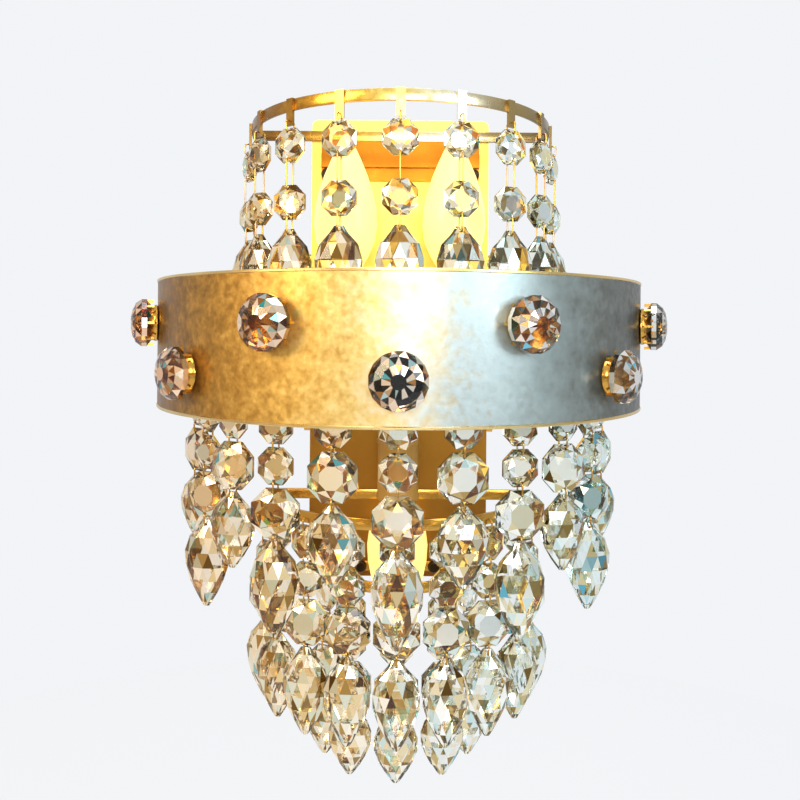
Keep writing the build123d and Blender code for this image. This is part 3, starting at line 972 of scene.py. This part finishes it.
def makeBand(settings):
    # a half round with two straight wings, and a thin rim along each edge
    low, high = lowHigh("band")
    radius = high.x
    route = [(Vector((radius, high.y, 0)), Vector((1, 0, 0)))]
    for step in range(settings["arcSteps"] + 1):
        turn = math.pi * step / settings["arcSteps"]
        out = Vector((math.cos(turn), -math.sin(turn), 0))
        route.append((Vector((0, panFront, 0)) + out * radius, out))
    route.append((Vector((-radius, high.y, 0)), Vector((-1, 0, 0))))
    rim = settings["rimHeight"]
    proud = settings["rimProud"]
    sheet = settings["sheet"]
    slope = rim * settings["rimSlope"]
    edge = [(-sheet, 0.0), (proud * 0.5, 0.0), (proud, slope), (proud, rim - slope), (0.0, rim)]
    section = [(across, low.z + rise) for across, rise in edge]
    section.append((0.0, (low.z + high.z) / 2))
    section += [(across, high.z - rise) for across, rise in reversed(edge)]
    work = bmesh.new()
    rows = []
    for point, out in route:
        row = [point + out * across + Vector((0, 0, height)) for across, height in section]
        rows.append([work.verts.new(place) for place in row])
    for first, second in zip(rows, rows[1:]):
        for step in range(len(section)):
            after = (step + 1) % len(section)
            face = work.faces.new((first[step], first[after], second[after], second[step]))
            rimFace = max(section[step][0], section[after][0]) > 0
            face.material_index = 1 if rimFace else 0
    work.faces.new(rows[0])
    work.faces.new(rows[-1])
    bmesh.ops.recalc_face_normals(work, faces=work.faces)
    band = fromBmesh("band_shell", work)
    band.data.materials.append(finishes["band"])
    band.data.materials.append(finishes["rimGold"])
    return smoothByAngle(band, settings["smoothAngle"])


addPiece(makeBand(bandCut), rootBody, "brushed_gold", "band")
print("band made")


studCut = {
    "count": 7,
    "spacing": math.radians(23.75),
    "facets": 16,
    "radius": 0.013,
    "height": 0.011,
    "rows": [  # share of the radius, share of the height, turn in facets
        (0.70, 0.00, 0.0), (1.00, 0.26, 0.5), (1.00, 0.50, 0.5),
        (0.82, 0.78, 0.0), (0.56, 0.93, 0.5), (0.26, 1.00, 0.0),
    ],
    "silvered": (0.1, 0.95),  # how far backwards a silvered facet looks
    "toneSeed": 5,
    "coatSeed": 6,
}

studSeat = {
    "radius": 0.010,
    "height": 0.003,
    "sides": 32,
    "rows": [(0.92, 0.0), (1.0, 0.2), (0.98, 0.6), (0.90, 1.0)],  # shares of the radius and the height
    "rodRadius": 0.00195,
    "rodLength": 0.009,
    "claws": 8,
    "clawPlace": 0.90,  # of the crystal's radius
    "clawRise": 0.0014,
    "clawSize": (0.0016, 0.0046, 0.0012),
}


def makeStudCrystal():
    # brilliant cut lying on its side, its back silvered: local -Y points outwards
    work = bmesh.new()
    silver = work.faces.layers.float.new("facetBack")
    facets = studCut["facets"]
    rings = []
    for share, rise, offset in studCut["rows"]:
        ring = []
        reach = studCut["radius"] * share
        away = studSeat["height"] + rise * studCut["height"]
        for step in range(facets):
            turn = 2 * math.pi * (step + offset) / facets
            ring.append(work.verts.new((reach * math.cos(turn), -away, reach * math.sin(turn))))
        rings.append((ring, offset))
    for (lower, lowerOffset), (upper, upperOffset) in zip(rings, rings[1:]):
        for step in range(facets):
            after = (step + 1) % facets
            if lowerOffset == upperOffset:
                work.faces.new((lower[step], lower[after], upper[after], upper[step]))
            elif lowerOffset < upperOffset:
                work.faces.new((lower[step], lower[after], upper[step]))
                work.faces.new((lower[after], upper[after], upper[step]))
            else:
                work.faces.new((lower[step], upper[after], upper[step]))
                work.faces.new((lower[step], lower[after], upper[after]))
    work.faces.new(rings[0][0])
    work.faces.new(rings[-1][0])
    bmesh.ops.recalc_face_normals(work, faces=work.faces)
    least, most = studCut["silvered"]
    for face in work.faces:
        face[silver] = 1.0 if least < face.normal.y < most else 0.0
    return fromBmesh("studCrystal", work)


def makeStudBase():
    # turned seat with a rim of small claws, and the threaded rod through the band
    work = bmesh.new()
    outwards = Matrix.Rotation(math.pi / 2, 4, "X")
    height = studSeat["height"]
    rod = studSeat["rodRadius"]
    profile = [(0.0, -studSeat["rodLength"]), (rod, -studSeat["rodLength"]), (rod, 0.0)]
    profile += [(studSeat["radius"] * share, height * rise) for share, rise in studSeat["rows"]]
    profile.append((0.0, height))
    lathe(work, profile, outwards, studSeat["sides"])
    stretch = Matrix.Diagonal((*studSeat["clawSize"], 1))
    reach = studCut["radius"] * studSeat["clawPlace"]
    place = Matrix.Translation((reach, -height - studSeat["clawRise"], 0))
    for step in range(studSeat["claws"]):
        turn = Matrix.Rotation(2 * math.pi * step / studSeat["claws"], 4, "Y")
        bmesh.ops.create_cube(work, size=1.0, matrix=turn @ place @ stretch)
    bmesh.ops.recalc_face_normals(work, faces=work.faces)
    return fromBmesh("studBase", work)


def studTree(source, material, tones):
    # studs round the band, high and low in turn from a high one
    tree = Tree("studs", {
        "Band radius": ("Float", 0.0),
        "Low": ("Float", 0.0),
        "High": ("Float", 0.0),
        "Tone seed": ("Int", studCut["toneSeed"]),
        "Coat seed": ("Int", studCut["coatSeed"]),
    })
    parity = tree.node("ShaderNodeMath", {"operation": "MODULO"}, {
        0: tree.node("GeometryNodeInputIndex").outputs[0], 1: 2.0,
    }).outputs[0]
    drop = tree.number("High") - tree.number("Low")
    height = tree.number("High") - Value(tree, parity) * drop
    points, heading = fanPoints(
        tree, studCut["count"], studCut["spacing"], tree.number("Band radius"), height
    )
    copies = tree.node("GeometryNodeInstanceOnPoints", {}, {
        "Points": points, "Instance": tree.template(source), "Rotation": tree.vector(0.0, 0.0, heading),
    })
    real = tree.realized(copies.outputs[0])
    if tones:
        real = tree.faceRandom(real, "facetTone", tree.input("Tone seed"))
        real = tree.faceRandom(real, "facetCoat", tree.input("Coat seed"))
    tree.close(real, material)
    return tree


studLow, studHigh = lowHigh("stud_crystals")
studValues = {
    "Band radius": lowHigh("band")[1].x,
    "Low": studLow.z + studCut["radius"],
    "High": studHigh.z - studCut["radius"],
}
for node, source, finish, slot, tones in (
    ("stud_crystals", makeStudCrystal(), "stud", "stud_crystal", True),
    ("stud_bases", makeStudBase(), "gold", "gold_plate", False),
):
    tree = studTree(source, finishes[finish], tones)
    studs = tree.make(node + "_set", studValues)
    bpy.data.objects.remove(source)
    addPiece(studs if tones else smoothByAngle(studs), rootBody, slot, node)
print("studs set")


bulbShape = {
    "belly": 0.0175,
    "glassHeight": 0.076,
    "glassRows": [  # share of the glass's height, share of the belly
        (0.00, 0.49), (0.05, 0.56), (0.12, 0.74), (0.22, 0.93), (0.34, 1.00), (0.46, 0.97), (0.58, 0.86),
        (0.70, 0.69), (0.80, 0.51), (0.88, 0.35), (0.94, 0.21), (0.98, 0.10), (1.00, 0.0),
    ],
    "capRadius": 0.0069,
    "capSides": 32,
    "contactRows": [(0.45, 0.0), (0.6, 0.002)],  # share of the cap's radius, height
    "ridges": 5,
    "ridge": 0.0005,
    "threadFoot": 0.003,
    "threadTop": 0.85,  # of the cap's height
}


def standing(x, y, foot, up):
    # a lamp's place: on its foot, or hanging head down from it
    place = Matrix.Translation((x, y, foot))
    return place if up == 1 else place @ Matrix.Rotation(math.pi, 4, "X")


def makeBulb(node):
    # a candle bulb's glass and its ribbed screw cap
    low, high = lowHigh(node)
    up = 1 if node != "bulb_lower" else -1
    foot = low.z if up == 1 else high.z
    centre = (low + high) / 2
    place = standing(centre.x, centre.y, foot, up)
    tall = bulbShape["glassHeight"]
    belly = bulbShape["belly"]
    neckHeight = high.z - low.z - tall
    glass = bmesh.new()
    profile = [(0.0, neckHeight)]
    profile += [(share * belly, neckHeight + rise * tall) for rise, share in bulbShape["glassRows"]]
    lathe(glass, profile, place)
    bmesh.ops.recalc_face_normals(glass, faces=glass.faces)
    envelope = fromBmesh(node + "_glass", glass, True)
    envelope.data.materials.append(finishes["bulb"])
    cap = bmesh.new()
    radius = bulbShape["capRadius"]
    profile = [(0.0, 0.0)] + [(radius * share, height) for share, height in bulbShape["contactRows"]]
    steps = bulbShape["ridges"] * 4
    threadFoot = bulbShape["threadFoot"]
    threadLength = neckHeight * bulbShape["threadTop"] - threadFoot
    for step in range(steps + 1):
        depth = bulbShape["ridge"] * (0.5 - 0.5 * math.cos(step * math.pi / 2))
        profile.append((radius - depth, threadFoot + threadLength * step / steps))
    profile += [(radius, neckHeight), (0.0, neckHeight)]
    lathe(cap, profile, place, bulbShape["capSides"])
    bmesh.ops.recalc_face_normals(cap, faces=cap.faces)
    screwCap = fromBmesh(node + "_cap", cap, True)
    screwCap.data.materials.append(finishes["brass"])
    addPiece(envelope, rootBody, "bulb_glass", node)
    addPiece(screwCap, rootBody, "gold_plate", node)
    return centre, foot, up


sleeveShape = {
    "radius": 0.0125,
    "bore": 0.0072,
    "height": 0.036,
    "floor": 0.010,
    "play": 0.0003,  # between the bulb's foot and the sleeve's floor
    "footRows": [(0.0012, 0.0), (0.0, 0.0012), (0.0, 0.0030), (0.0006, 0.0036)],  # inset, height
    "mouthRows": [(0.0006, 0.0040), (0.0, 0.0030), (0.0, 0.0012), (0.0012, 0.0)],  # inset, depth
    "sides": 40,
    "smoothAngle": 40,
}


def makeSleeves(places):
    work = bmesh.new()
    outer = sleeveShape["radius"]
    bore = sleeveShape["bore"]
    tall = sleeveShape["height"]
    profile = [(0.0, 0.0)]
    profile += [(outer - inset, height) for inset, height in sleeveShape["footRows"]]
    profile += [(outer - inset, tall - depth) for inset, depth in sleeveShape["mouthRows"]]
    profile += [(bore, tall), (bore, sleeveShape["floor"]), (0.0, sleeveShape["floor"])]
    for place in places:
        lathe(work, profile, place, sleeveShape["sides"])
    bmesh.ops.recalc_face_normals(work, faces=work.faces)
    sleeves = fromBmesh("candle_sleeves", work)
    sleeves.data.materials.append(finishes["sleeve"])
    return smoothByAngle(sleeves, sleeveShape["smoothAngle"])


sleevePlaces = []
for node in ("bulb_left", "bulb_right", "bulb_lower"):
    centre, foot, up = makeBulb(node)
    seat = foot - up * (sleeveShape["floor"] + sleeveShape["play"])
    sleevePlaces.append(standing(centre.x, centre.y, seat, up))
addPiece(makeSleeves(sleevePlaces), rootBody, "candle_sleeve", "lampholders")
print("lamps made")


# pieces that keep the shape they come with
nodeFinishes = {
    "backplate": "pan",
    "wall_bracket": "zinc",
    "side_screws": "gold",
    "terminal_block": "terminal",
    "top_ring_bracket": "bracketGold",
    "frame_screws": "screw",
    "frame_nuts": "zinc",
    "band_arms": "gold",
    "band_stays": "gold",
    "stud_nuts": "zinc",
    "lamp_arms": "gold",
    "arm_locknuts": "zinc",
    "lamp_cables": "cable",
}
for node, finish in nodeFinishes.items():
    mesh = frame["nodes"][node].data
    mesh.materials.clear()
    mesh.materials.append(finishes[finish])
print("finishes put on", len(nodeFinishes), "more nodes")


stage = {
    "background": "F2F4F7",
    "floorCentre": (0, -0.1),
    "floorDrop": 0.36,
    "floorRadius": 1.1,
    "floorSides": 96,
    "floorGlow": 0.9,  # how far the floor shows as plain background
    "floorCloud": 3.0,
    "floorRough": 0.7,
    "floorRoughSpread": 0.1,
}


def makeFloor():
    work = bmesh.new()
    place = Matrix.Translation((*stage["floorCentre"], cadBounds[0][2] - stage["floorDrop"]))
    bmesh.ops.create_circle(
        work, cap_ends=True, segments=stage["floorSides"], radius=stage["floorRadius"], matrix=place
    )
    floor = fromBmesh("floor", work)
    shader = Shader("paleFloor")
    pale = rgba(fromHex(stage["background"]))
    rays = shader.node("ShaderNodeLightPath").outputs
    seen = Value(shader, rays["Is Camera Ray"])
    for kind in ("Is Glossy Ray", "Is Transmission Ray"):
        seen = seen.combine("MAXIMUM", seen, rays[kind])
    cloud = shader.noise(stage["floorCloud"])
    rough = cloud * stage["floorRoughSpread"] + stage["floorRough"]
    matt = shader.principled({"Base Color": pale, "Roughness": rough})
    glow = shader.node("ShaderNodeEmission", {}, {"Color": pale, "Strength": 1.0}).outputs[0]
    mixed = shader.mixShader(seen * stage["floorGlow"], matt, glow)
    floor.data.materials.append(shader.finish(mixed))


studio = {
    "strength": 0.85,
    "glassClear": 0.75,  # how far glass sees the plain background and not the studio
    "walls": [  # from left to right behind the camera
        (0.00, (0.62, 0.47, 0.30)), (0.30, (1.00, 0.88, 0.66)), (0.50, (1.00, 0.99, 0.96)),
        (0.70, (0.86, 0.93, 0.96)), (1.00, (0.42, 0.45, 0.46)),
    ],
    "wallsFade": (-1.6, 0.2),  # slope and offset over the depth
    "ground": (0.24, 0.21, 0.17, 1),
    "groundFade": (-1.3, -0.1),  # slope and offset over the height
    "groundShare": 0.75,
}


def makeWorld():
    world = bpy.data.worlds.new("studio")
    bpy.context.scene.world = world
    shader = Shader("studio", world)
    pale = rgba(fromHex(stage["background"]))
    where = shader.node("ShaderNodeTexCoord").outputs["Generated"]
    split = shader.node("ShaderNodeSeparateXYZ", {}, {"Vector": where})
    across, depth, height = [Value(shader, split.outputs[axis]) for axis in "XYZ"]
    walls = shader.ramp((across * 0.5 + 0.5).clamp(), studio["walls"])
    slope, offset = studio["wallsFade"]
    room = shader.mixColour((depth * slope + offset).clamp(), pale, walls)
    slope, offset = studio["groundFade"]
    below = (height * slope + offset).clamp()
    room = shader.mixColour(below * studio["groundShare"], room, studio["ground"])
    rays = shader.node("ShaderNodeLightPath")
    through = Value(shader, rays.outputs["Is Transmission Ray"]) * studio["glassClear"]
    seen = (Value(shader, rays.outputs["Is Camera Ray"]) + through).clamp()
    clean, lit = [
        shader.node("ShaderNodeBackground", {}, {"Color": colour, "Strength": strength}).outputs[0]
        for colour, strength in ((pale, 1.0), (room, studio["strength"]))
    ]
    shader.node("ShaderNodeOutputWorld", {}, {"Surface": shader.mixShader(seen, lit, clean)})


softLights = {  # place, power, colour, size
    "left": ((-0.75, -0.75, 0.40), 9.0, (1.0, 0.80, 0.52), 0.45),
    "right": ((0.70, -0.85, 0.25), 4.0, (0.82, 0.93, 1.0), 0.45),
    "front": ((0.05, -1.00, 0.15), 3.0, (1.0, 0.98, 0.95), 0.35),
    "top": ((0.0, -0.25, 0.90), 5.0, (1.0, 0.97, 0.92), 0.50),
}
lightTarget = (0, -0.09, 0.0)


def makeLights():
    target = Vector(lightTarget)
    for name, (place, power, colour, size) in softLights.items():
        light = bpy.data.lights.new(name, "AREA")
        light.shape = "SQUARE"
        light.size = size
        light.energy = power
        light.color = colour
        holder = newObject(name, light)
        holder.location = place
        holder.rotation_euler = (target - Vector(place)).to_track_quat("-Z", "Y").to_euler()


eye = {
    "height": 0.008,
    "distance": 0.4806,  # from the pan's front
    "sensor": 36.0,
    "focalShare": 792.7 / 800,  # the focal length in shares of the picture's width
    "roll": math.radians(0.45),
    "shiftX": 0.00125,
    "shiftY": -0.0872,
    "nearest": 0.01,
}


def makeCamera():
    view = bpy.data.cameras.new("photoView")
    view.sensor_width = eye["sensor"]
    view.lens = eye["sensor"] * eye["focalShare"]
    view.shift_x = eye["shiftX"]
    view.shift_y = eye["shiftY"]
    view.clip_start = eye["nearest"]
    holder = newObject("photoView", view)
    upright = Matrix.Rotation(math.pi / 2, 4, "X")
    place = Matrix.Translation((0, panFront - eye["distance"], eye["height"]))
    holder.matrix_world = place @ upright @ Matrix.Rotation(eye["roll"], 4, "Z")
    bpy.context.scene.camera = holder


makeCamera()
makeFloor()
makeWorld()
makeLights()
bpy.context.scene.view_settings.view_transform = "Standard"
print("stage set; pieces:", len(pieces))
